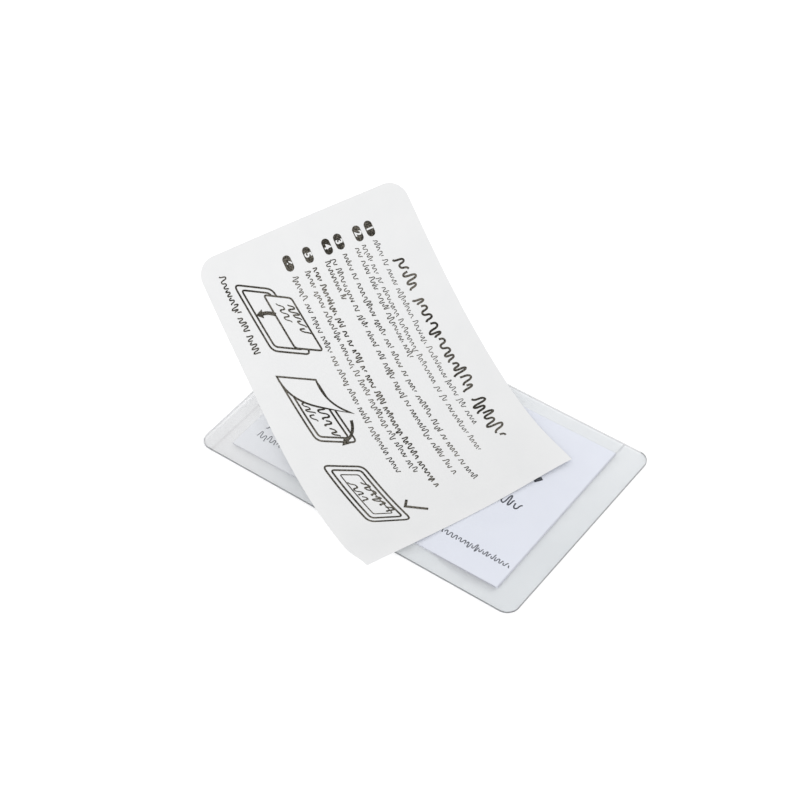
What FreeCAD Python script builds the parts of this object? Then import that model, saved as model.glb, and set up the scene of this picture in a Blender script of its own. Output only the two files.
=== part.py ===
"""Self-laminating card pouch: a stiff clear plate, the card it protects, the clear
face film folded down over the card, and the printed release sheet that was peeled
off the film's glue and lies curled across the pouch.

Millimetres, +Z up. The origin is the middle of the plate's underside, which is the
face that lies on the table. +X runs along the pouch's long side, away from the hinge
strip, and +Y along its short side.
"""
import FreeCAD, Part
import Sketcher
import math
import os

Vector = FreeCAD.Vector

doc = FreeCAD.newDocument("card_pouch")
sizes = doc.addObject("Spreadsheet::Sheet", "sizes")

# Driving dimensions: name, value, what it is
DRIVING_SIZES = [
    ("plate_length", 100.0, "long side of the stiff back plate and of the face film"),
    ("plate_width", 66.0, "short side of the back plate and of the face film"),
    ("plate_thick", 0.4, "stiff clear plate"),
    ("corner_radius", 3.5, "die-cut corners of plate and film"),
    ("card_length", 84.5, "long side of the paper card"),
    ("card_width", 56.0, "short side of the paper card"),
    ("card_thick", 0.3, "paper card"),
    ("card_shift_x", -0.2, "how far the card's middle lies from the plate's, along X"),
    ("card_shift_y", 0.1, "the same along Y"),
    ("card_angle", 0.4, "degrees that the card was laid in askew"),
    ("film_thick", 0.1, "clear face film"),
    ("glue_thick", 0.03, "layer of glue that holds the film off the plate and the card"),
    ("film_slip", 0.5, "how far the film was folded down off the plate, towards -Y"),
    ("film_slope", 1.2, "band round the card where the film comes down to the plate"),
    ("hinge_strip", 4.6, "bonded strip from the short edge to the fold crease"),
    ("crease_width", 0.4, "fold crease across the film"),
    ("crease_depth", 0.04, "fold crease into the film"),
    ("sheet_width", 64.0, "printed release sheet, across the curl"),
    ("sheet_thick", 0.1, "siliconed paper of the release sheet"),
    ("sheet_corner", 5.5, "round corners at the sheet's raised end"),
    ("rest_length", 4.0, "flat stretch of the sheet that rests on the pouch"),
    ("near_length", 26.0, "first stretch of the curl, along the sheet"),
    ("near_radius", 70.0, "its bend radius"),
    ("middle_length", 26.0, "second stretch of the curl"),
    ("middle_radius", 120.0, "its bend radius"),
    ("far_length", 24.0, "third stretch of the curl"),
    ("far_radius", 175.0, "its bend radius"),
    ("tip_length", 14.0, "straight stretch up to the raised end"),
    ("sheet_x", 23.3, "middle of the sheet's resting edge, along X"),
    ("sheet_y", -11.7, "the same along Y"),
    ("sheet_angle", 159.6, "degrees from +X to the way the sheet runs, seen from above"),
]

value = {name: number for name, number, what in DRIVING_SIZES}

for row, (name, number, what) in enumerate(DRIVING_SIZES, start=1):
    sizes.set(f"A{row}", name)
    sizes.set(f"B{row}", str(number))
    sizes.set(f"C{row}", what)
    sizes.setAlias(f"B{row}", name)
doc.recompute()


# Helpers that every piece uses
def new_body(label):
    """An empty body whose label is the name of its piece."""
    body = doc.addObject("PartDesign::Body", label)
    body.Label = label
    return body


def new_sketch(body, name, plane):
    """A sketch on one of the body's own origin planes."""
    sketch = body.newObject("Sketcher::SketchObject", name)
    origin_plane = next(f for f in body.Origin.OriginFeatures if f.Role == plane)
    sketch.AttachmentSupport = [(origin_plane, "")]
    sketch.MapMode = "FlatFace"
    return sketch


def bind(feature, **rules):
    """Tie properties to expressions; a double underscore stands for a dot."""
    for name, rule in rules.items():
        feature.setExpression(name.replace("__", "."), rule)


def named_constraint(sketch, name, rule, *definition):
    """Add a driving constraint whose value follows the spreadsheet."""
    index = sketch.addConstraint(Sketcher.Constraint(*definition))
    sketch.renameConstraint(index, name)
    sketch.setExpression(f"Constraints.{name}", rule)


def centred_rectangle(sketch, across_rule, up_rule):
    """Draw a rectangle about the sketch's origin, its two sides from the spreadsheet."""
    half = 10.0
    corners = [Vector(-half, -half, 0), Vector(half, -half, 0),
               Vector(half, half, 0), Vector(-half, half, 0)]
    for start, end in zip(corners, corners[1:] + corners[:1]):
        sketch.addGeometry(Part.LineSegment(start, end), False)
    for side in range(4):
        sketch.addConstraint(Sketcher.Constraint("Coincident", side, 2, (side + 1) % 4, 1))
        lie = "Horizontal" if side % 2 == 0 else "Vertical"
        sketch.addConstraint(Sketcher.Constraint(lie, side))
    sketch.addConstraint(Sketcher.Constraint("Symmetric", 0, 1, 2, 1, -1, 1))
    named_constraint(sketch, "across", across_rule, "Distance", 0, 2 * half)
    named_constraint(sketch, "up", up_rule, "Distance", 1, 2 * half)


def pad(body, sketch, name, length_rule):
    """Raise a sketch along its normal."""
    feature = body.newObject("PartDesign::Pad", name)
    feature.Profile = sketch
    bind(feature, Length=length_rule)
    doc.recompute()
    return feature


def round_edges(body, base, name, radius_rule, picked):
    """Fillet the straight edges of base for which picked(edge) is true."""
    feature = body.newObject("PartDesign::Fillet", name)
    edges = [f"Edge{i}" for i, edge in enumerate(base.Shape.Edges, start=1) if picked(edge)]
    feature.Base = (base, edges)
    bind(feature, Radius=radius_rule)
    doc.recompute()
    return feature


def stands_upright(edge):
    """True for an edge parallel to Z."""
    run = edge.Vertexes[-1].Point - edge.Vertexes[0].Point
    return abs(run.x) + abs(run.y) < 1e-6


# Back plate: the stiff clear sheet that the pouch is built on
plate = new_body("back_plate")
plate_outline = new_sketch(plate, "plate_outline", "XY_Plane")
centred_rectangle(plate_outline, "sizes.plate_length", "sizes.plate_width")
plate_pad = pad(plate, plate_outline, "plate_pad", "sizes.plate_thick")
round_edges(plate, plate_pad, "plate_corners", "sizes.corner_radius", stands_upright)

# Insert card: square-cut paper, laid on the plate a little askew
card = new_body("insert_card")
card_outline = new_sketch(card, "card_outline", "XY_Plane")
centred_rectangle(card_outline, "sizes.card_length", "sizes.card_width")
pad(card, card_outline, "card_pad", "sizes.card_thick")
bind(card, Placement__Base__x="sizes.card_shift_x",
     Placement__Base__y="sizes.card_shift_y",
     Placement__Base__z="sizes.plate_thick",
     Placement__Rotation__Angle="sizes.card_angle")

# Face film: flat on the plate's margin, and lifted over the card like a low tray
film = new_body("face_film")
film_outline = new_sketch(film, "film_outline", "XY_Plane")
centred_rectangle(film_outline, "sizes.plate_length", "sizes.plate_width")
film_pad = pad(film, film_outline, "film_pad", "sizes.film_thick")
round_edges(film, film_pad, "film_corners", "sizes.corner_radius", stands_upright)
bind(film, Placement__Base__y="-sizes.film_slip",
     Placement__Base__z="sizes.plate_thick + sizes.glue_thick")


def tray_section(name, grow_rule, height_rule):
    """A rectangle round the card, grown on every side and set at a height."""
    section = new_sketch(film, name, "XY_Plane")
    centred_rectangle(section, f"sizes.card_length + 2 * {grow_rule}",
                      f"sizes.card_width + 2 * {grow_rule}")
    bind(section, AttachmentOffset__Base__x="sizes.card_shift_x",
         AttachmentOffset__Base__y="sizes.card_shift_y + sizes.film_slip",
         AttachmentOffset__Base__z=height_rule,
         AttachmentOffset__Rotation__Angle="sizes.card_angle")
    return section


def tray_loft(kind, name, lower, upper):
    """Join two tray sections with flat sloping sides."""
    loft = film.newObject(f"PartDesign::{kind}", name)
    loft.Profile = lower
    loft.Sections = [upper]
    loft.Ruled = True
    doc.recompute()
    return loft


outer_foot = tray_section("outer_foot", "(sizes.film_slope + sizes.film_thick)", "0")
outer_top = tray_section("outer_top", "sizes.film_thick", "sizes.card_thick + sizes.film_thick")
tray_loft("AdditiveLoft", "tray_outside", outer_foot, outer_top)
inner_foot = tray_section("inner_foot", "sizes.film_slope", "0")
inner_top = tray_section("inner_top", "0", "sizes.card_thick")
tray_loft("SubtractiveLoft", "tray_inside", inner_foot, inner_top)

# Fold crease: a shallow V across the film, where the bonded hinge strip ends
crease_profile = new_sketch(film, "crease_profile", "XZ_Plane")
fold_x = value["hinge_strip"] - value["plate_length"] / 2
film_top = value["film_thick"]
mouth = value["crease_width"]
crease_points = [Vector(fold_x - mouth / 2, film_top, 0), Vector(fold_x + mouth / 2, film_top, 0),
                 Vector(fold_x, film_top - value["crease_depth"], 0)]
for start, end in zip(crease_points, crease_points[1:] + crease_points[:1]):
    crease_profile.addGeometry(Part.LineSegment(start, end), False)
for side in range(3):
    crease_profile.addConstraint(
        Sketcher.Constraint("Coincident", side, 2, (side + 1) % 3, 1))
crease_profile.addConstraint(Sketcher.Constraint("Horizontal", 0))
crease_profile.addConstraint(Sketcher.Constraint("Equal", 1, 2))
named_constraint(crease_profile, "mouth", "sizes.crease_width", "Distance", 0, mouth)
named_constraint(crease_profile, "floor", "sizes.film_thick - sizes.crease_depth",
                 "DistanceY", -1, 1, 1, 2, film_top - value["crease_depth"])
named_constraint(crease_profile, "top", "sizes.film_thick",
                 "DistanceY", -1, 1, 0, 1, film_top)
named_constraint(crease_profile, "place", "sizes.plate_length / 2 - sizes.hinge_strip",
                 "DistanceX", 1, 2, -1, 1, -fold_x)
crease = film.newObject("PartDesign::Pocket", "fold_crease")
crease.Profile = crease_profile
crease.Midplane = True
bind(crease, Length="2 * sizes.plate_width")
doc.recompute()

# Release sheet: a flat end, three bends that open out, and a straight raised tip
sheet = new_body("release_sheet")
BENDS = ["near", "middle", "far"]
curl = new_sketch(sheet, "curl_line", "XZ_Plane")


def draw_curl(sketch):
    """Draw the sheet's line from its resting edge to its tip, tangent all the way."""
    point = Vector(value["rest_length"], 0, 0)
    heading = 0.0
    sketch.addGeometry(Part.LineSegment(Vector(0, 0, 0), point), False)
    for bend in BENDS:
        radius = value[f"{bend}_radius"]
        turn = value[f"{bend}_length"] / radius
        centre = point + Vector(-math.sin(heading), math.cos(heading), 0) * radius
        start = heading - math.pi / 2
        circle = Part.Circle(centre, Vector(0, 0, 1), radius)
        sketch.addGeometry(Part.ArcOfCircle(circle, start, start + turn), False)
        heading += turn
        point = centre + Vector(math.sin(heading), -math.cos(heading), 0) * radius
    tip = point + Vector(math.cos(heading), math.sin(heading), 0) * value["tip_length"]
    sketch.addGeometry(Part.LineSegment(point, tip), False)


draw_curl(curl)
last = len(BENDS) + 1
curl.addConstraint(Sketcher.Constraint("Coincident", 0, 1, -1, 1))
curl.addConstraint(Sketcher.Constraint("Horizontal", 0))
for piece in range(last):
    curl.addConstraint(Sketcher.Constraint("Tangent", piece, 2, piece + 1, 1))
named_constraint(curl, "rest", "sizes.rest_length", "Distance", 0, value["rest_length"])
named_constraint(curl, "tip", "sizes.tip_length", "Distance", last, value["tip_length"])
for piece, bend in enumerate(BENDS, start=1):
    named_constraint(curl, f"{bend}_bend", f"sizes.{bend}_radius",
                     "Radius", piece, value[f"{bend}_radius"])
    named_constraint(curl, f"{bend}_sweep",
                     f"sizes.{bend}_length / sizes.{bend}_radius * 180 / pi",
                     "Angle", piece, value[f"{bend}_length"] / value[f"{bend}_radius"])
cut_end = new_sketch(sheet, "cut_end", "YZ_Plane")
centred_rectangle(cut_end, "sizes.sheet_width", "sizes.sheet_thick")
bind(cut_end, AttachmentOffset__Base__y="sizes.sheet_thick / 2")
doc.recompute()
curled = sheet.newObject("PartDesign::AdditivePipe", "curled_sheet")
curled.Profile = cut_end
curled.Spine = (curl, [f"Edge{i}" for i in range(1, last + 2)])
doc.recompute()


def through_sheet(edge):
    """True for a short straight edge from one face of the sheet to the other."""
    return abs(edge.Length - value["sheet_thick"]) < value["sheet_thick"] / 100


highest = sorted((e.CenterOfMass.z for e in curled.Shape.Edges if through_sheet(e)))[-1]
slack = value["sheet_thick"] / 2


def at_raised_end(edge):
    """True for the two edges through the sheet at the corners of its tip."""
    return through_sheet(edge) and edge.CenterOfMass.z > highest - slack


round_edges(sheet, curled, "tip_corners", "sizes.sheet_corner", at_raised_end)
bind(sheet, Placement__Base__x="sizes.sheet_x",
     Placement__Base__y="sizes.sheet_y",
     Placement__Base__z="sizes.plate_thick + sizes.card_thick"
                        " + sizes.glue_thick + sizes.film_thick",
     Placement__Rotation__Angle="sizes.sheet_angle")

# Check every feature, then write one file for each piece
doc.recompute()
for obj in doc.Objects:
    if "Invalid" in obj.State or "Error" in obj.State:
        raise RuntimeError(f"{obj.Name} did not build: {obj.State}")

os.makedirs("parts", exist_ok=True)
for body in [plate, card, film, sheet]:
    shape = body.Shape
    if shape.isNull() or not shape.isValid() or len(shape.Solids) != 1:
        raise RuntimeError(f"{body.Label} is not one valid solid")
    shape.exportStep(f"parts/{body.Label}.step")
    box = shape.BoundBox
    print(f"{body.Label:14s} {shape.Volume:9.2f} mm3  x {box.XMin:7.2f} {box.XMax:7.2f}"
          f"  y {box.YMin:7.2f} {box.YMax:7.2f}  z {box.ZMin:6.2f} {box.ZMax:6.2f}")
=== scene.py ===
# %% [markdown]
# # A self-laminating card pouch
#
# The pouch is a stiff clear plate with a paper card on it and a thin clear film folded
# down over both. Its printed release sheet was peeled off the film's glue, kept the curl
# of the peeling, and lies across the pouch. The plate, the film and the card come from
# the frame and keep their shapes. The release sheet is bent here from flat paper,
# together with its print, because ink has to follow the paper exactly.

# %% Open the frame
import math
import random

import bmesh
import bpy
from mathutils import Matrix, Vector


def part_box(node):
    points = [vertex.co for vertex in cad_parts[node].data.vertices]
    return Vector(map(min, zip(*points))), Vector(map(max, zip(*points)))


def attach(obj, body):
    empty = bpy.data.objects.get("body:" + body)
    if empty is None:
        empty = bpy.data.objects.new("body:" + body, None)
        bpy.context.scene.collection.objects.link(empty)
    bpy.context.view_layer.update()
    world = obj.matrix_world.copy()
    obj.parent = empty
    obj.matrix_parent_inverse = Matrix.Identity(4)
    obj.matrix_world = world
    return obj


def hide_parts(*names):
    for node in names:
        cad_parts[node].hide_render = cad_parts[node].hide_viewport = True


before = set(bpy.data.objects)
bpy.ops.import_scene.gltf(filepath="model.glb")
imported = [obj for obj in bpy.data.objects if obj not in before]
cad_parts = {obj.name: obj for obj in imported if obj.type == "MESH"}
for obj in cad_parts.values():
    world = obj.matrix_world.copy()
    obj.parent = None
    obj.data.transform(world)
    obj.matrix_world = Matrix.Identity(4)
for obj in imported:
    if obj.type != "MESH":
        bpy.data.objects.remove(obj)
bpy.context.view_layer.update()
MM = 0.001
PLATE_LOW, PLATE_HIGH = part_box("back_plate")
FILM_LOW, FILM_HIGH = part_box("face_film")
SHEET_LOW, SHEET_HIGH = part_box("release_sheet")
print("plate", PLATE_LOW, PLATE_HIGH)

# %% [markdown]
# ## The camera and its place
#
# The four corners of the plate are a known rectangle, 100 by 66 mm, so they fix where the
# camera stood: a long lens, turned 36 degrees to the pouch's long side and looking down
# at 46 degrees. The aim point on the table and the distance set the framing, so no shift
# is needed.

# %% Camera
AZIMUTH = math.radians(36.08)
ELEVATION = math.radians(46.15)
AIM = Vector((-16.12, 11.14, 0)) * MM
DISTANCE = 620.8 * MM
SENSOR = 36.0
FOCAL_SHARE = 2300 / 800

away = Vector((math.sin(AZIMUTH) * math.cos(ELEVATION),
               -math.cos(AZIMUTH) * math.cos(ELEVATION),
               math.sin(ELEVATION)))
camera_data = bpy.data.cameras.new("camera")
camera_data.sensor_width = SENSOR
camera_data.lens = SENSOR * FOCAL_SHARE
camera_data.clip_start = 0.01
camera = bpy.data.objects.new("camera", camera_data)
camera.location = AIM + away * DISTANCE
camera.rotation_euler = (-away).to_track_quat("-Z", "Y").to_euler()
bpy.context.scene.collection.objects.link(camera)
bpy.context.scene.camera = camera
print("camera at", tuple(round(c, 4) for c in camera.location))

# %% [markdown]
# ## Light and table
#
# The pouch was shot on a white table under soft light, bright enough for the table to
# turn pure white. A white world gives the soft part. A lamp behind the pouch throws the
# card's thin shadow towards the camera, a large one near the camera brightens what faces
# it, the raised end most, and a low one at the left shines along the curl, so that it
# reaches the part of the pouch beside the sheet and leaves the sheet's own face alone.

# %% Lights
scene = bpy.context.scene
scene.view_settings.view_transform = "Standard"
WORLD_LIGHT = 0.70

world = bpy.data.worlds.new("studio")
scene.world = world
world.use_nodes = True
world.node_tree.nodes["Background"].inputs["Color"].default_value = (1.0, 1.0, 1.0, 1.0)
world.node_tree.nodes["Background"].inputs["Strength"].default_value = WORLD_LIGHT


def add_softbox(name, place, width, power):
    """A square white lamp at a place in metres, turned to face the pouch."""
    lamp = bpy.data.lights.new(name, "AREA")
    lamp.size = width
    lamp.energy = power
    holder = bpy.data.objects.new(name, lamp)
    holder.location = place
    holder.rotation_euler = (-Vector(place)).to_track_quat("-Z", "Y").to_euler()
    scene.collection.objects.link(holder)
    print("lamp", name, "at", place, "with", power, "watts")


add_softbox("back", (-0.20, 1.00, 0.45), 0.40, 2.3)
add_softbox("front", (0.70, -0.75, 0.80), 0.60, 7.0)
add_softbox("side", (-0.84, 0.31, 0.28), 0.40, 2.4)

# %% [markdown]
# ## Shader maths as expressions
#
# A pattern such as "dark where the distance to the edge is under a tenth of a
# millimetre" is a chain of maths nodes. The class below wraps one socket, so that the
# chain can be written as an ordinary expression.


# %% Shader expressions
class Shade:
    """A socket of a node tree that can be added, multiplied and compared."""

    def __init__(self, tree, socket):
        self.tree = tree
        self.socket = socket

    @staticmethod
    def node(tree, kind, settings, **inputs):
        """Make one node: its settings first, then the values or links of its sockets."""
        made = tree.nodes.new(kind)
        for name, value in settings.items():
            setattr(made, name, value)
        for name, value in inputs.items():
            key = int(name[1:]) if name[1:].isdigit() else name.replace("_", " ")
            target = made.inputs[key]
            if isinstance(value, Shade):
                tree.links.new(value.socket, target)
            else:
                target.default_value = value
        return made

    def maths(self, operation, *others):
        """Apply a Math operation to this value and the others."""
        values = {f"i{i}": value for i, value in enumerate((self,) + others)}
        made = Shade.node(self.tree, "ShaderNodeMath", {"operation": operation}, **values)
        return Shade(self.tree, made.outputs[0])

    def __add__(self, other):
        return self.maths("ADD", other)

    __radd__ = __add__

    def __sub__(self, other):
        return self.maths("SUBTRACT", other)

    def __rsub__(self, other):
        """A number less this value, so that 1 - mask works."""
        return self * -1.0 + other

    def __mul__(self, other):
        return self.maths("MULTIPLY", other)

    __rmul__ = __mul__

    def __truediv__(self, other):
        return self.maths("DIVIDE", other)

    def absolute(self):
        return self.maths("ABSOLUTE")

    def least(self, other):
        return self.maths("MINIMUM", other)

    def most(self, other):
        return self.maths("MAXIMUM", other)

    def step(self, low, high):
        """0 below low, 1 above high, smooth between; low may be above high."""
        made = Shade.node(self.tree, "ShaderNodeMapRange",
                          {"interpolation_type": "SMOOTHSTEP", "clamp": True},
                          Value=self, From_Min=low, From_Max=high)
        return Shade(self.tree, made.outputs["Result"])


# %% [markdown]
# Colours need their own Mix node, because a Math node would turn them grey. The helpers
# below start a finish, add noise or a bump to it, and link a pattern to a socket.


# %% Finish helpers
def blend_colours(tree, share, first, second):
    """Mix two colours, each an RGB triple or a socket."""
    made = Shade.node(tree, "ShaderNodeMix", {"data_type": "RGBA"})
    for key, value in ((0, share), (6, first), (7, second)):
        if isinstance(value, Shade):
            tree.links.new(value.socket, made.inputs[key])
        elif isinstance(value, tuple):
            made.inputs[key].default_value = value + (1.0,)
        else:
            made.inputs[key].default_value = value
    return Shade(tree, made.outputs[2])


def new_finish(name, on_page=False, **constants):
    """A material with one Principled shader; returns material, tree, shader and x, y, z.

    The coordinates are the object's millimetres, or those of the printed page, which
    follow the paper's bend.
    """
    material = bpy.data.materials.new(name)
    material.use_nodes = True
    tree = material.node_tree
    shader = tree.nodes["Principled BSDF"]
    for key, value in constants.items():
        shader.inputs[key.replace("_", " ")].default_value = value
    place = Shade.node(tree, "ShaderNodeTexCoord", {})
    split = Shade.node(tree, "ShaderNodeSeparateXYZ", {},
                       Vector=Shade(tree, place.outputs["UV" if on_page else "Object"]))
    unit = 0.01 if on_page else MM
    x, y, z = (Shade(tree, split.outputs[axis]) / unit for axis in range(3))
    return material, tree, shader, (x, y, z)


def noise(tree, x, y, z, scale, detail=2.0, roughness=0.5):
    """Noise over millimetre coordinates; scale is in cycles for each millimetre."""
    where = Shade.node(tree, "ShaderNodeCombineXYZ", {}, X=x, Y=y, Z=z)
    made = Shade.node(tree, "ShaderNodeTexNoise", {},
                      Vector=Shade(tree, where.outputs[0]), Scale=scale,
                      Detail=detail, Roughness=roughness)
    return Shade(tree, made.outputs[0])


def bump(tree, shader, height, distance, strength=1.0):
    """Feed a height, in the given distance, to the shader's normal."""
    made = Shade.node(tree, "ShaderNodeBump", {}, Height=height,
                      Distance=distance, Strength=strength)
    tree.links.new(made.outputs[0], shader.inputs["Normal"])


def feed(tree, shader, socket, value):
    """Link a pattern to one of the shader's sockets."""
    tree.links.new(value.socket, shader.inputs[socket])


# %% [markdown]
# ## The table
#
# Only a plain white ground, a hair below the plate so that the two faces don't share one
# height. It glows a little by itself, as an overexposed table does, so that shadows on it
# stay faint.

# %% Table
TABLE_DROP = 0.02 * MM
TABLE_SIZE = 3.0
TABLE_GLOW = 0.33

table_mesh = bpy.data.meshes.new("table")
table_bm = bmesh.new()
bmesh.ops.create_grid(table_bm, x_segments=1, y_segments=1, size=TABLE_SIZE / 2)
bmesh.ops.translate(table_bm, vec=(0, 0, -TABLE_DROP), verts=table_bm.verts)
table_bm.to_mesh(table_mesh)
table_bm.free()
table = bpy.data.objects.new("table", table_mesh)
scene.collection.objects.link(table)
table_finish = new_finish(
    "white_table", Base_Color=(0.80, 0.80, 0.80, 1.0), Roughness=0.9,
    Specular_IOR_Level=0.1, Emission_Color=(1.0, 1.0, 1.0, 1.0),
    Emission_Strength=TABLE_GLOW)[0]
table_mesh.materials.append(table_finish)
print("table", TABLE_SIZE, "m wide")

# %% [markdown]
# ## Clear plastic
#
# Clear plastic has almost no colour on its face and a line at its cut edge, because
# light that enters the edge is led away inside. Each piece is a thin veil of colour: the
# shader's alpha says how much of the piece covers what lies below it. A ray passes the
# veil twice, at the upper and at the lower face. The edge is found with the distance to
# the outline, a rectangle with round corners.

# %% Distance to a rounded outline
CORNER = 3.5


def outline_distance(x, y, low, high, corner):
    """Millimetres from the outline of a round-cornered rectangle, negative inside."""
    middle = (low + high) / 2 / MM
    half = (high - low) / 2 / MM
    out_x = (x - middle.x).absolute() - (half.x - corner)
    out_y = (y - middle.y).absolute() - (half.y - corner)
    over_x = out_x.most(0.0)
    over_y = out_y.most(0.0)
    round_part = (over_x * over_x + over_y * over_y).maths("SQRT")
    return round_part + out_x.most(out_y).least(0.0) - corner


# %% [markdown]
# The two sides of the plate that are turned from the light, the near one and the right
# one, show a dark line as thin as the cut. The other two show a wider and paler line, and
# beside it a gleam, where the light leaves the plastic again. The gleam is strongest at
# the far end of the short side. The veil itself is a little cloudy. Towards the far side
# and the left end it is thinned, as painted light that makes the plate lighter where the
# raised sheet shades it.

# %% Back plate
EDGE_DARK = (0.030, 0.032, 0.036)
EDGE_PALE = (0.24, 0.235, 0.245)
HINGE_TINT = (0.46, 0.46, 0.47)
PLATE_TINT = (0.38, 0.44, 0.48)
PLATE_VEIL, PLATE_CLOUD = 0.136, 0.05
DARK_EDGE_VEIL, PALE_EDGE_VEIL = 0.63, 0.10
# Painted light: how much the veil is thinned at the far side and at the left end, to lighten
# the plate where the raised sheet shades it.
FAR_PAINTED_LIGHT, LEFT_PAINTED_LIGHT = 0.20, 0.38

plate_finish, tree, shader, (x, y, z) = new_finish(
    "clear_plate", Roughness=0.16, IOR=1.52)
distance = outline_distance(x, y, PLATE_LOW, PLATE_HIGH, CORNER)
unlit = y.step(-30.6, -31.8).most(x.step(46.3, 47.3))
lit = 1 - unlit
edge = distance.step(-0.10, -0.02) * unlit + distance.step(-0.34, -0.12) * lit
gleam = distance.step(-1.0, -0.7) * distance.step(-0.30, -0.45) * lit
gleam = gleam * (x.step(-46.0, -47.0) * y.step(-34.0, -14.0) * 0.65 + 0.3)
edge_colour = blend_colours(tree, unlit, EDGE_PALE, EDGE_DARK)
face_colour = blend_colours(tree, x.step(-46.0, -10.0), HINGE_TINT, PLATE_TINT)
cloud = noise(tree, x, y, z, 0.06, 3.0)
# Painted light: the veil thins towards the left end and the far side, so the plate looks
# lighter beside the raised sheet.
left_painted_light = x.step(-22.0, -44.0) * (y.step(-33.0, 2.0) * LEFT_PAINTED_LIGHT + 0.04)
veil = (cloud * PLATE_CLOUD + PLATE_VEIL) * (1 - y.step(-15.0, 36.0) * FAR_PAINTED_LIGHT)
veil = veil * (1 - gleam) * (1 - left_painted_light)
edge_veil = edge * (unlit * (DARK_EDGE_VEIL - PALE_EDGE_VEIL) + PALE_EDGE_VEIL)
feed(tree, shader, "Base Color", blend_colours(tree, edge, face_colour, edge_colour))
feed(tree, shader, "Alpha", veil + edge_veil)
feed(tree, shader, "Roughness", cloud * 0.10 + 0.12)
bump(tree, shader, noise(tree, x, y, z, 0.22, 2.0), 0.02 * MM, 0.35)
print("clear plate, veil", PLATE_VEIL)

# %% [markdown]
# The card's edges cast a shadow on the plate, and that shadow is painted on the film: a
# soft grey band below the card's near edge, wide in some places and narrow in others, and
# a thin line along its right edge. The card lies slightly askew, so its corners tell how
# far the coordinates have to be turned to measure from its edges.

# %% The card's edges
card_corners = [v.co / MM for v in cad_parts["insert_card"].data.vertices]
near_left = min(card_corners, key=lambda c: c.x + c.y)
near_right = max(card_corners, key=lambda c: c.x - c.y)
turn = math.atan2(near_right.y - near_left.y, near_right.x - near_left.x)
print("card turned by", round(math.degrees(turn), 2), "degrees")


def card_sides(x, y):
    """Millimetres outside the card's right edge, and outside its near edge."""
    along = x * math.cos(turn) + y * math.sin(turn)
    across = y * math.cos(turn) - x * math.sin(turn)
    right_edge = near_right.x * math.cos(turn) + near_right.y * math.sin(turn)
    near_edge = near_right.y * math.cos(turn) - near_right.x * math.sin(turn)
    return along - right_edge, near_edge - across


# %% [markdown]
# The film's veil is thinner than the plate's. The hinge strip is streaked along its
# length, as bonded film is, and ends at the fold, which shows as a faint line. Each mark
# on the film, and each part of the painted shadow beside the card, is a mask with its own
# small share of the alpha.

# %% Face film
HINGE_WIDTH = 4.6
CREASE_X = PLATE_LOW.x / MM + HINGE_WIDTH
FILM_TINT = (0.60, 0.64, 0.71)
MARK_AND_SHADOW_TINT = (0.22, 0.21, 0.27)
FILM_VEIL = 0.055
# Alpha shares of the film's edge line, the crease, and the painted shadow along the card's
# right and near edges; then the painted shadow band's narrowest width and how much wider it
# grows towards the right.
EDGE_MARK, CREASE_MARK, RIGHT_SHADOW_VEIL, NEAR_SHADOW_VEIL = 0.12, 0.016, 0.09, 0.085
SHADOW_NARROW, SHADOW_WIDER = 0.4, 3.2

film_finish, tree, shader, (x, y, z) = new_finish("clear_film", Roughness=0.1, IOR=1.5)
distance = outline_distance(x, y, FILM_LOW, FILM_HIGH, CORNER)
edge = distance.step(-0.12, -0.03)
hinge = x.step(CREASE_X + 0.1, CREASE_X - 0.1)
crease = (x - CREASE_X).absolute().step(0.60, 0.05)
beside, below = card_sides(x, y)
uneven = noise(tree, x, x * 0.0, z, 0.25, 1.0) + 0.6
# Painted shadow of the card's edges: a soft band below the near edge, wider towards its right
# end, and a thin line along the right edge.
width = uneven * x.step(20.0, 31.0) * SHADOW_WIDER + SHADOW_NARROW
near_painted_shadow = (below / width).step(1.0, 0.0) * below.step(-0.15, 0.10)
near_painted_shadow = near_painted_shadow * beside.step(0.5, -0.8) * x.step(near_left.x - 0.3, near_left.x + 0.3)
right_painted_shadow = beside.absolute().step(0.50, 0.05) * below.step(0.3, -0.3)
streaks = noise(tree, x * 1.6, y * 0.05, z, 1.0, 3.0)
veil = FILM_VEIL + hinge * (streaks * 0.03 - 0.012)
marks_and_shadows = edge * EDGE_MARK + crease * CREASE_MARK + right_painted_shadow * RIGHT_SHADOW_VEIL
marks_and_shadows = marks_and_shadows + near_painted_shadow * NEAR_SHADOW_VEIL
any_mark_or_shadow = edge.most(crease).most(right_painted_shadow).most(near_painted_shadow)
feed(tree, shader, "Base Color", blend_colours(tree, any_mark_or_shadow, FILM_TINT, MARK_AND_SHADOW_TINT))
feed(tree, shader, "Alpha", veil + marks_and_shadows)
feed(tree, shader, "Roughness", streaks * 0.08 + 0.22)
bump(tree, shader, noise(tree, x, y, z, 0.10, 2.0), 0.05 * MM, 0.4)
print("clear film, veil", FILM_VEIL, "crease at", round(CREASE_X, 2), "mm")

# %% [markdown]
# ## Paper
#
# The card is smooth bluish board; towards its left end it is painted greyer and a little
# darker, as painted shade where the raised sheet shades it. The release sheet is a slightly
# warmer siliconed paper with a satin face. Both get a fine fibre relief and a cloudy change
# of tone that is only just there.

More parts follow.
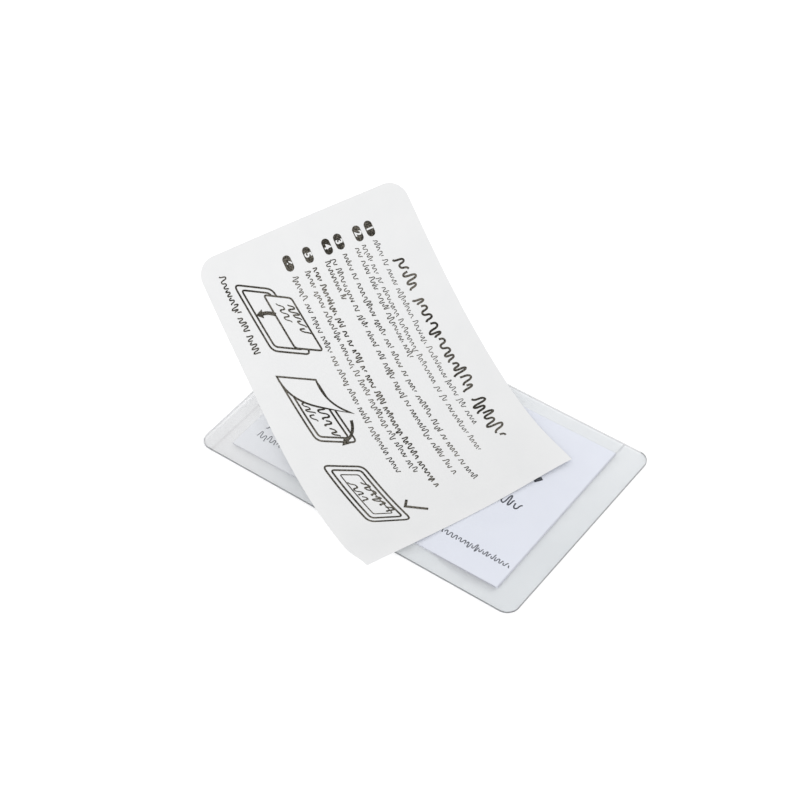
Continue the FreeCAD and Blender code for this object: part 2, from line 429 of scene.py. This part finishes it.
# %% Paper finishes
def paper_finish(name, tone, shade, roughness, sheen, on_page=False, painted_left_shade=None):
    """Paper with a cloudy tone and a fine fibre relief; the last argument, if given, is painted
    shade, the tone at its left end.
    """
    material, tree, shader, (x, y, z) = new_finish(name, on_page, Roughness=roughness,
                                                   IOR=1.45)
    shader.inputs["Coat Weight"].default_value = sheen
    shader.inputs["Coat Roughness"].default_value = 0.35
    cloud = noise(tree, x, y, z, 0.12, 4.0)
    fibre = noise(tree, x, y * 0.6, z, 5.0, 3.0, 0.65)
    share = (cloud * 0.7 + fibre * 0.3).step(0.30, 0.75)
    colour = blend_colours(tree, share, shade, tone)
    if painted_left_shade:
        # Painted shade: the tone turns to the given left-end tone towards the left.
        colour = blend_colours(tree, x.step(10.0, -30.0), colour, painted_left_shade)
    feed(tree, shader, "Base Color", colour)
    feed(tree, shader, "Roughness", fibre * 0.12 + (roughness - 0.06))
    bump(tree, shader, fibre, 0.012 * MM, 0.35)
    return material


CARD_TONE, CARD_SHADE = (0.80, 0.82, 0.888), (0.78, 0.80, 0.873)
# Painted shade: the card's tone at its left end, greyer and darker where the raised sheet
# shades it.
CARD_LEFT_PAINTED_SHADE = (0.77, 0.778, 0.798)
SHEET_TONE, SHEET_SHADE = (0.790, 0.793, 0.795), (0.770, 0.775, 0.780)

card_finish = paper_finish("card_paper", CARD_TONE, CARD_SHADE, 0.55, 0.0, painted_left_shade=CARD_LEFT_PAINTED_SHADE)
sheet_finish = paper_finish("release_paper", SHEET_TONE, SHEET_SHADE, 0.46, 0.12,
                            on_page=True)
print("papers", card_finish.name, "and", sheet_finish.name)

# %% [markdown]
# Printing ink is flat and nearly black. It lies unevenly on siliconed paper, so small
# worn specks are mixed in, and a slow noise makes them more frequent in some places.


# %% Ink finishes
def ink_finish_of(name, dark, worn, on_page):
    """Ink that lies unevenly: dark, with small worn specks."""
    material, tree, shader, (x, y, z) = new_finish(name, on_page, Roughness=0.6, IOR=1.45,
                                                   Specular_IOR_Level=0.2)
    thin = noise(tree, x, y, z, 0.07, 1.0) * 0.6
    speck = (noise(tree, x, y, z, 2.2, 3.0) + thin).step(0.68, 1.02)
    feed(tree, shader, "Base Color", blend_colours(tree, speck, dark, worn))
    return material


ink_finish = ink_finish_of("sheet_ink", (0.020, 0.018, 0.013), (0.16, 0.145, 0.12), True)
card_ink_finish = ink_finish_of("card_ink", (0.010, 0.012, 0.018),
                                (0.030, 0.032, 0.045), False)
print("inks", ink_finish.name, "and", card_ink_finish.name)

# %% [markdown]
# ## Paper bent along one curve
#
# A sheet of paper can't stretch, so a curl is a bend along one curve with straight lines
# across it. The curve here is a straight tip, three arcs that tighten, and a short flat
# stretch. Paper and print are drawn flat first, on a page whose x runs the way the print
# reads, from the raised end to the resting end, and whose y runs up the page. `on_curl`
# then carries each point of the page, with its height above the paper's underside, to
# its place in the bent sheet.

# %% The curl
PAGE_LENGTH = 94.0
PAGE_HEIGHT = 64.0
SHEET_THICK = 0.1
SHEET_CORNER = 5.5
SHEET_START = Vector((23.3, -11.7, SHEET_LOW.z / MM))
SHEET_HEADING = math.radians(159.6)
CURL = [(4.0, None), (26.0, 70.0), (26.0, 120.0), (24.0, 175.0), (14.0, None)]

run_way = Vector((math.cos(SHEET_HEADING), math.sin(SHEET_HEADING), 0))
up_page = Vector((run_way.y, -run_way.x, 0))


def curl_point(along):
    """Distance out, height and slope of the curl after a length of paper."""
    out = height = slope = 0.0
    for length, radius in CURL:
        part = along if (length, radius) == CURL[-1] else min(along, length)
        if radius:
            turn = part / radius
            out += radius * (math.sin(slope + turn) - math.sin(slope))
            height += radius * (math.cos(slope) - math.cos(slope + turn))
            slope += turn
        else:
            out += part * math.cos(slope)
            height += part * math.sin(slope)
        along -= part
        if along <= 0:
            break
    return out, height, slope


# %% [markdown]
# Real paper isn't quite as even as the plain curl. Its left edge bulges outwards in the
# middle of the curl, its two resting corners don't lie flat, and the raised corner at the
# right hangs a little. Each of these is a smooth step across the page times a smooth step
# along it, so that the paper stays smooth.


# %% The paper's slack
BULGE = 1.36
LEFT_LIFT, RIGHT_LIFT = 0.8, 0.6
RIGHT_SPREAD, RIGHT_BACK = 0.6, 0.9
TIP_HANG = 0.5


def ease(value, low, high):
    """0 at low, 1 at high, smooth between; low may be above high."""
    share = min(max((value - low) / (high - low), 0.0), 1.0)
    return share * share * (3 - 2 * share)


def slack(along, y):
    """How far the paper strays from the plain curl: sideways, back along it and up."""
    near_left, near_right = ease(y, 10, -32), ease(y, -8, 32)
    right_corner = near_right ** 2 * ease(along, 20, 0)
    sideways = RIGHT_SPREAD * right_corner
    sideways -= BULGE * near_left * ease(along, 0, 8) * ease(along, 70, 24)
    up = LEFT_LIFT * near_left ** 2 * ease(along, 16, 0)
    up += RIGHT_LIFT * near_right ** 2 * ease(along, 30, 0)
    up -= TIP_HANG * near_right * ease(along, 66, PAGE_LENGTH)
    return sideways, RIGHT_BACK * right_corner, up


def on_curl(x, y, lift):
    """A point of the page, in millimetres, at its place in the bent sheet, in metres."""
    along = PAGE_LENGTH - x
    out, height, slope = curl_point(along)
    sideways, back, up = slack(along, y)
    spot = SHEET_START + up_page * (y + sideways)
    spot += run_way * (out + back - lift * math.sin(slope))
    spot.z += height + up + lift * math.cos(slope)
    return spot * MM


# %% From a flat drawing to a bent piece
def slice_page(bm, across=1.0, along=2.0):
    """Cut a flat drawing into narrow strips across the curl, and wider ones along it."""
    cuts = [((i * across, 0, 0), (1, 0, 0)) for i in range(1, int(PAGE_LENGTH / across))]
    rows = int(PAGE_HEIGHT / 2 / along)
    cuts += [((0, i * along, 0), (0, 1, 0)) for i in range(1 - rows, rows)]
    for spot, facing in cuts:
        geometry = bm.verts[:] + bm.edges[:] + bm.faces[:]
        bmesh.ops.bisect_plane(bm, geom=geometry, dist=1e-6, plane_co=spot, plane_no=facing)


def thicken(bm, thickness):
    """Give a flat drawing a wall of the thickness, measured upwards."""
    grown = bmesh.ops.extrude_face_region(bm, geom=bm.faces[:])
    raised = [g for g in grown["geom"] if isinstance(g, bmesh.types.BMVert)]
    bmesh.ops.translate(bm, vec=(0, 0, thickness), verts=raised)
    bmesh.ops.recalc_face_normals(bm, faces=bm.faces)


def map_page(bm):
    """Keep every corner's place on the page in a map, in decimetres."""
    page = bm.loops.layers.uv.new("page")
    for face in bm.faces:
        for loop in face.loops:
            loop[page].uv = loop.vert.co.xy / 100


def new_piece(name, bm, finish, smooth=False):
    """Turn a finished mesh into a piece of the pouch."""
    mesh = bpy.data.meshes.new(name)
    bm.to_mesh(mesh)
    bm.free()
    for polygon in mesh.polygons:
        polygon.use_smooth = smooth
    mesh.materials.append(finish)
    piece = bpy.data.objects.new(name, mesh)
    scene.collection.objects.link(piece)
    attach(piece, "root")
    print(name, len(mesh.vertices), "vertices", len(mesh.polygons), "faces")
    return piece


def new_page_piece(name, bm, finish, thickness, sliced=True):
    """Slice, thicken, map and bend a flat drawing."""
    if sliced:
        slice_page(bm)
    thicken(bm, thickness)
    map_page(bm)
    for vertex in bm.verts:
        vertex.co = on_curl(*vertex.co)
    return new_piece(name, bm, finish)


# %% [markdown]
# ## The release sheet
#
# A flat face with two corners rounded by a bevel, sliced every millimetre and thickened.
# The slices keep each flat facet within two microns of the true curl.

# %% Release sheet
def page_shape(corners, radius=0.0, rounded=None):
    """A flat face from its corners; all of them, or those that rounded picks, are bevelled."""
    shape = bmesh.new()
    shape.faces.new([shape.verts.new(corner) for corner in corners])
    if radius:
        picked = [v for v in shape.verts if rounded is None or rounded(v)]
        bmesh.ops.bevel(shape, geom=picked, offset=radius, affect="VERTICES",
                        segments=8, profile=0.5, material=-1)
    return shape


def box_corners(left, right, bottom, top):
    """The corners of an upright rectangle, counter-clockwise."""
    return [(left, bottom, 0), (right, bottom, 0), (right, top, 0), (left, top, 0)]


sheet_bm = page_shape(box_corners(0, PAGE_LENGTH, -PAGE_HEIGHT / 2, PAGE_HEIGHT / 2),
                      SHEET_CORNER, lambda v: v.co.x < PAGE_LENGTH / 2)
release_sheet = new_page_piece("release_sheet_paper", sheet_bm, sheet_finish, SHEET_THICK)
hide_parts("release_sheet")

# %% [markdown]
# ## Print without words
#
# The sheet carries a heading, nine lines of small print with a numbered badge before each
# paragraph, and small drawings of how the pouch is closed. What the words say isn't part
# of the model: every word is a wavy stroke of a word's length and weight, the badges hold
# plain numbers, and the drawings are plain outlines. A stroke is one short edge, extruded
# step by step along its path. At a bend the edge is widened, so that the stroke keeps its
# width. Ink that lies on other ink is one coat higher.

# %% Ink stripes
INK_THICK = 0.01
FIRST_COAT = SHEET_THICK + 0.02
SECOND_COAT = SHEET_THICK + 0.035
THIRD_COAT = SHEET_THICK + 0.05


def ink_stripe(bm, path, width):
    """Draw a flat stripe of ink along a path by extruding one short edge."""
    closed = path[0] == path[-1]
    last = len(path) - 1
    for i, spot in enumerate(path):
        before = path[i - 1] if i > 0 else path[-2] if closed else path[0]
        after = path[i + 1] if i < last else path[1] if closed else path[-1]
        way_in, way_out = (spot - before).normalized(), (after - spot).normalized()
        way = (way_in + way_out).normalized()
        reach = width / 2 / max(way.dot(way_in), way.dot(way_out), 0.5)
        side = Vector((-way.y, way.x, 0)) * reach
        if i == 0:
            left, right = bm.verts.new(spot + side), bm.verts.new(spot - side)
            edge = bm.edges.new((left, right))
            continue
        grown = bmesh.ops.extrude_edge_only(bm, edges=[edge])["geom"]
        ends = [g for g in grown if isinstance(g, bmesh.types.BMVert)]
        ends.sort(key=lambda v: (v.co - left.co).length)
        left, right = ends
        edge = bm.edges.get(ends)
        left.co, right.co = spot + side, spot - side


# %% [markdown]
# A word is a row of turns of uneven length and height, and a few reach above or below the
# others, as tall letters do. The stroke breaks off every few turns, so that it looks like
# letters and not like a spring.


# %% Wavy words
TALL_SHARE, TALL = 0.22, 1.42
DEEP_SHARE, DEEP = 0.10, -0.34


def wave_word(bm, dice, start, base, length, height, width, coat, pitch=0.52, steps=5):
    """A wavy stroke where a word would stand, uneven and broken here and there."""
    turns = max(2, round(length / (height * pitch)))
    shares = [dice.uniform(0.55, 1.45) for _ in range(turns)]
    x, unit = start, length / sum(shares)
    knots = []
    for i in range(turns + 1):
        tall = TALL if dice.random() < TALL_SHARE else dice.uniform(0.86, 1.04)
        low = DEEP if dice.random() < DEEP_SHARE else dice.uniform(-0.04, 0.10)
        knots.append((x, base + height * (tall if i % 2 else low)))
        x += unit * shares[min(i, turns - 1)]
    first, gap = 0, 0
    while first < turns:
        last = min(first + dice.choice((2, 3, 4, 4, 5, 6)), turns)
        path = []
        for (x0, y0), (x1, y1) in zip(knots[first:last], knots[first + 1:]):
            for k in range(steps):
                share = k / steps
                climb = (1 - math.cos(math.pi * share)) / 2
                drift = share + math.sin(2 * math.pi * share) / (2 * math.pi) * 0.7
                path.append(Vector((x0 + (x1 - x0) * drift, y0 + (y1 - y0) * climb, coat)))
        path.append(Vector((*knots[last], coat)))
        ink_stripe(bm, path[gap:], width)
        first, gap = last, steps * 2 // 5


def wave_line(bm, dice, start, end, base, height, width, coat, pitch=0.52):
    """Fill a line with wavy words of uneven length."""
    x = start
    while x < end - height:
        length = min(height * dice.choice((1.8, 2.7, 3.6, 4.5, 6.3, 8.1, 9.0)), end - x)
        wave_word(bm, dice, x, base, length, height, width, coat, pitch)
        x += length + height * 0.8


# %% [markdown]
# The heading is three words in a heavy stroke, each given by its start and length. Below
# it stand nine lines, given by start, end, height on the page and stroke width; the upper
# ones are printed thinner than the lower ones. A short heavier line stands at the foot.

# %% Heading and lines
HEADING_BASE = 20.6
HEADING_HEIGHT = 2.4
HEADING_STROKE = 0.60
HEADING_WORDS = [(20.0, 9.6), (32.2, 28.6), (63.4, 13.6)]
HEADING_PITCH, HEADING_STEPS = 0.5, 8
LINE_HEIGHT = 1.1
LINES = [(13.0, 70.0, 16.95, 0.20), (13.0, 77.5, 13.35, 0.21), (13.0, 47.0, 11.25, 0.235),
         (13.2, 84.5, 7.25, 0.26), (13.2, 80.5, 3.65, 0.26), (13.2, 24.5, 1.65, 0.27),
         (13.4, 81.5, -2.35, 0.34), (13.4, 75.0, -4.75, 0.25), (13.4, 73.0, -8.55, 0.25)]
FOOT_START, FOOT_END, FOOT_BASE = 5.6, 30.0, -27.3
FOOT_HEIGHT, FOOT_STROKE = 1.2, 0.35

dice = random.Random(11)
heading_bm = bmesh.new()
for start, length in HEADING_WORDS:
    wave_word(heading_bm, dice, start, HEADING_BASE, length, HEADING_HEIGHT,
              HEADING_STROKE, FIRST_COAT, HEADING_PITCH, HEADING_STEPS)
new_page_piece("print_heading", heading_bm, ink_finish, INK_THICK, sliced=False)

lines_bm = bmesh.new()
for start, end, base, stroke in LINES:
    wave_line(lines_bm, dice, start, end, base, LINE_HEIGHT, stroke, FIRST_COAT)
wave_line(lines_bm, dice, FOOT_START, FOOT_END, FOOT_BASE, FOOT_HEIGHT, FOOT_STROKE,
          FIRST_COAT)
new_page_piece("print_lines", lines_bm, ink_finish, INK_THICK, sliced=False)

# %% [markdown]
# Each paragraph starts with a dark badge that holds its number. The badge is a rectangle
# with its corners bevelled until the ends are round, and the number is text turned into
# a mesh, in the paper's colour and one coat above the badge.


# %% Numbered badges
def add_part(bm, part, lift):
    """Lift a flat part to its coat and join it to a drawing."""
    bmesh.ops.translate(part, vec=(0, 0, lift), verts=part.verts)
    mesh = bpy.data.meshes.new("part")
    part.to_mesh(mesh)
    part.free()
    bm.from_mesh(mesh)
    bpy.data.meshes.remove(mesh)


def numeral(number, size, x, y):
    """A flat number, centred on a point of the page."""
    text = bpy.data.curves.new("numeral", "FONT")
    text.body = str(number)
    text.size = size
    text.offset = size * 0.035
    text.align_x = "CENTER"
    text.align_y = "CENTER"
    holder = bpy.data.objects.new("numeral", text)
    mesh = bpy.data.meshes.new_from_object(holder)
    part = bmesh.new()
    part.from_mesh(mesh)
    bmesh.ops.translate(part, vec=(x, y, 0), verts=part.verts)
    bpy.data.meshes.remove(mesh)
    bpy.data.objects.remove(holder)
    return part


BADGE_LEFT, BADGE_RIGHT = 7.4, 11.9
BADGE_HEIGHT = 2.4
BADGE_ROUND = 0.49
NUMERAL_SIZE = 2.7
BADGE_ROWS = [17.5, 13.8, 7.8, 4.1, -1.9, -8.0]

badges_bm, numbers_bm = bmesh.new(), bmesh.new()
for number, middle in enumerate(BADGE_ROWS, start=1):
    corners = box_corners(BADGE_LEFT, BADGE_RIGHT, middle - BADGE_HEIGHT / 2,
                          middle + BADGE_HEIGHT / 2)
    add_part(badges_bm, page_shape(corners, BADGE_HEIGHT * BADGE_ROUND), FIRST_COAT)
    add_part(numbers_bm, numeral(number, NUMERAL_SIZE, (BADGE_LEFT + BADGE_RIGHT) / 2, middle),
             SECOND_COAT)
new_page_piece("print_badges", badges_bm, ink_finish, INK_THICK)
new_page_piece("print_numbers", numbers_bm, sheet_finish, INK_THICK, sliced=False)

# %% [markdown]
# ## Three small drawings
#
# The drawings show a pouch lying open with a card above it, the film being rolled down,
# and the closed pouch with a tick. Cards and pouches are slanted rectangles with rounded
# corners: closed stripes, and the pouch's second line lies inside the first. Where a shape
# lies in front of another, a patch in the paper's colour hides what is behind it.

# %% Outlines
LINE_WIDTH = 0.50
ALONG_CARD = Vector((1, 0.10, 0)).normalized()
UP_CARD = Vector((0.55, 1, 0)).normalized()


def slanted(left, bottom, length, height, depth=0.0):
    """Corners of a card seen at a slant, or of the shape that lies depth inside it."""
    step = depth / ALONG_CARD.cross(UP_CARD).z
    corner = Vector((left, bottom, 0)) + (ALONG_CARD + UP_CARD) * step
    along = ALONG_CARD * (length - 2 * step)
    up = UP_CARD * (height - 2 * step)
    return [corner, corner + along, corner + along + up, corner + up]


def bow(start, pull, end, steps=6):
    """Points of a quadratic curve from start to end."""
    shares = [k / steps for k in range(steps + 1)]
    return [start * (1 - s) ** 2 + pull * 2 * s * (1 - s) + end * s * s for s in shares]


def rounded_path(corners, radius):
    """A closed path through corners, each cut back by the radius and bowed."""
    path = []
    for i, corner in enumerate(corners):
        before = (corners[i - 1] - corner).normalized() * radius
        after = (corners[(i + 1) % len(corners)] - corner).normalized() * radius
        path += bow(corner + before, corner, corner + after)
    return path + path[:1]


def draw(bm, path, width, coat):
    """Add a stripe of ink to a drawing, at its coat."""
    stripe = bmesh.new()
    ink_stripe(stripe, path, width)
    add_part(bm, stripe, coat)


def draw_arrow(bm, path, width, head, coat):
    """Add a stripe with a three-cornered head at its end."""
    draw(bm, path, width, coat)
    way = (path[-1] - path[-2]).normalized()
    side = Vector((-way.y, way.x, 0)) * head * 0.62
    tip = [path[-1] + side, path[-1] - side, path[-1] + way * head]
    add_part(bm, page_shape(tip), coat)


def page_points(*pairs):
    """Points of the page from x, y pairs."""
    return [Vector((x, y, 0)) for x, y in pairs]


# %% Three pouches, one in each drawing
POUCH_LEFTS = (9.0, 35.5, 62.0)
POUCH_BOTTOM = -24.4
POUCH_LENGTH, POUCH_HEIGHT = 20.0, 10.6
POUCH_CORNER = 1.7
POUCH_RIM = 1.15

steps_bm, patches_bm = bmesh.new(), bmesh.new()
for left in POUCH_LEFTS:
    for depth in (0.0, POUCH_RIM):
        corners = slanted(left, POUCH_BOTTOM, POUCH_LENGTH, POUCH_HEIGHT, depth)
        draw(steps_bm, rounded_path(corners, POUCH_CORNER - depth * 0.6), LINE_WIDTH,
             FIRST_COAT)
print("pouches drawn", len(POUCH_LEFTS))

# %% [markdown]
# Each drawn card carries two wavy rows. They are made upright and then slanted like the
# card, by a matrix whose columns are the card's own two directions.


# %% Print on a drawn card
ROWS = ((2.6, 1.0, 0.50), (-0.6, 0.62, 0.42))
ROW_HEIGHT, ROW_PITCH = 1.7, 0.62


def draw_print(left, bottom, length, coat):
    """Two slanted wavy rows: each has its base, its share of the length and its stroke."""
    rows = bmesh.new()
    for base, share, width in ROWS:
        wave_word(rows, dice, 0, base, length * share, ROW_HEIGHT, width, 0, ROW_PITCH)
    slant = Matrix((ALONG_CARD, UP_CARD, Vector((0, 0, 1)))).transposed().to_4x4()
    bmesh.ops.transform(rows, matrix=slant, verts=rows.verts)
    bmesh.ops.translate(rows, vec=(left, bottom, 0), verts=rows.verts)
    add_part(steps_bm, rows, coat)


# %% First drawing: a card above the open pouch
CARD_ARROW, FILM_ARROW, ARROW_HEAD = 1.0, 0.8, 2.0

held_card = rounded_path(slanted(14.6, -18.0, 16.2, 7.6), 0.9)
add_part(patches_bm, page_shape(held_card[:-1]), SECOND_COAT)
draw(steps_bm, held_card, LINE_WIDTH, THIRD_COAT)
draw_print(18.2, -15.4, 9.0, THIRD_COAT)
card_way = bow(*page_points((20.6, -17.2), (19.2, -18.8), (19.0, -20.4)))
draw_arrow(steps_bm, card_way, CARD_ARROW, ARROW_HEAD, THIRD_COAT)
print("first drawing", len(steps_bm.verts), "vertices so far")

# %% [markdown]
# The film in the second drawing stands up from the pouch's left side and bends to the
# right: two bows, joined at their ends by straight lines.

# %% Second drawing: the film comes down
draw_print(43.0, -21.2, 12.0, FIRST_COAT)
film_near = bow(*page_points((35.5, -24.4), (42.2, -24.3), (47.2, -18.0)), steps=10)
film_far = bow(*page_points((53.0, -10.2), (47.6, -15.8), (40.6, -15.1)), steps=10)
film_path = film_near + film_far + film_near[:1]
add_part(patches_bm, page_shape(film_path[:-1]), SECOND_COAT)
draw(steps_bm, film_path, LINE_WIDTH, THIRD_COAT)
film_way = bow(*page_points((54.4, -11.6), (58.0, -12.4), (58.8, -15.2)))
draw_arrow(steps_bm, film_way, FILM_ARROW, ARROW_HEAD, THIRD_COAT)
print("second drawing", len(steps_bm.verts), "vertices so far")

# %% Third drawing: the closed pouch
CARD_DEPTH, CARD_LINE, TICK_WIDTH = 2.4, 0.30, 0.7

closed_card = slanted(POUCH_LEFTS[2], POUCH_BOTTOM, POUCH_LENGTH, POUCH_HEIGHT, CARD_DEPTH)
draw(steps_bm, rounded_path(closed_card, 0.5), CARD_LINE, FIRST_COAT)
draw_print(69.4, -20.4, 11.0, FIRST_COAT)
tick = page_points((81.0, -10.8), (82.6, -12.2), (86.4, -7.8))
draw(steps_bm, tick, TICK_WIDTH, THIRD_COAT)

new_page_piece("print_drawings", steps_bm, ink_finish, INK_THICK)
new_page_piece("print_drawing_grounds", patches_bm, sheet_finish, INK_THICK)

# %% [markdown]
# ## Print on the card
#
# Some print shows on the card under the film: two words at its left end, a line along the
# lower right, and a word and one bold stroke that come out from under the sheet. All of it
# lies in the glue's gap between the card and the film. The card is flat, so this print is
# only thickened and scaled to metres. Each word has its start, base, length, height,
# stroke and pitch.

# %% Card print
CARD_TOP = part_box("insert_card")[1].z / MM
CARD_COAT = CARD_TOP + 0.006
CARD_WORDS = [(-38.4, -18.8, 7.0, 1.5, 0.26, 0.60, 5), (-38.8, -22.4, 14.0, 1.5, 0.21, 0.55, 5),
              (19.0, -20.8, 22.0, 1.3, 0.26, 0.50, 5), (16.2, -3.5, 16.0, 2.4, 0.42, 0.52, 9)]
BOLD_END, BOLD_STROKE = ((29.7, 7.5), (31.0, 9.5)), 1.2

card_bm = bmesh.new()
for start, base, length, height, stroke, pitch, steps in CARD_WORDS:
    wave_word(card_bm, dice, start, base, length, height, stroke, CARD_COAT, pitch, steps)
ink_stripe(card_bm, [Vector((*place, CARD_COAT)) for place in BOLD_END], BOLD_STROKE)
thicken(card_bm, INK_THICK)
bmesh.ops.scale(card_bm, vec=(MM, MM, MM), verts=card_bm.verts)
new_piece("print_on_card", card_bm, card_ink_finish)

# %% [markdown]
# The plate, the film and the card are the frame's own meshes. They only get their finish.

# %% Put the finishes on the frame's own pieces
for node, finish in (("back_plate", plate_finish), ("face_film", film_finish),
                     ("insert_card", card_finish)):
    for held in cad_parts[node].material_slots:
        held.material = finish
    print(node, "is", finish.name)
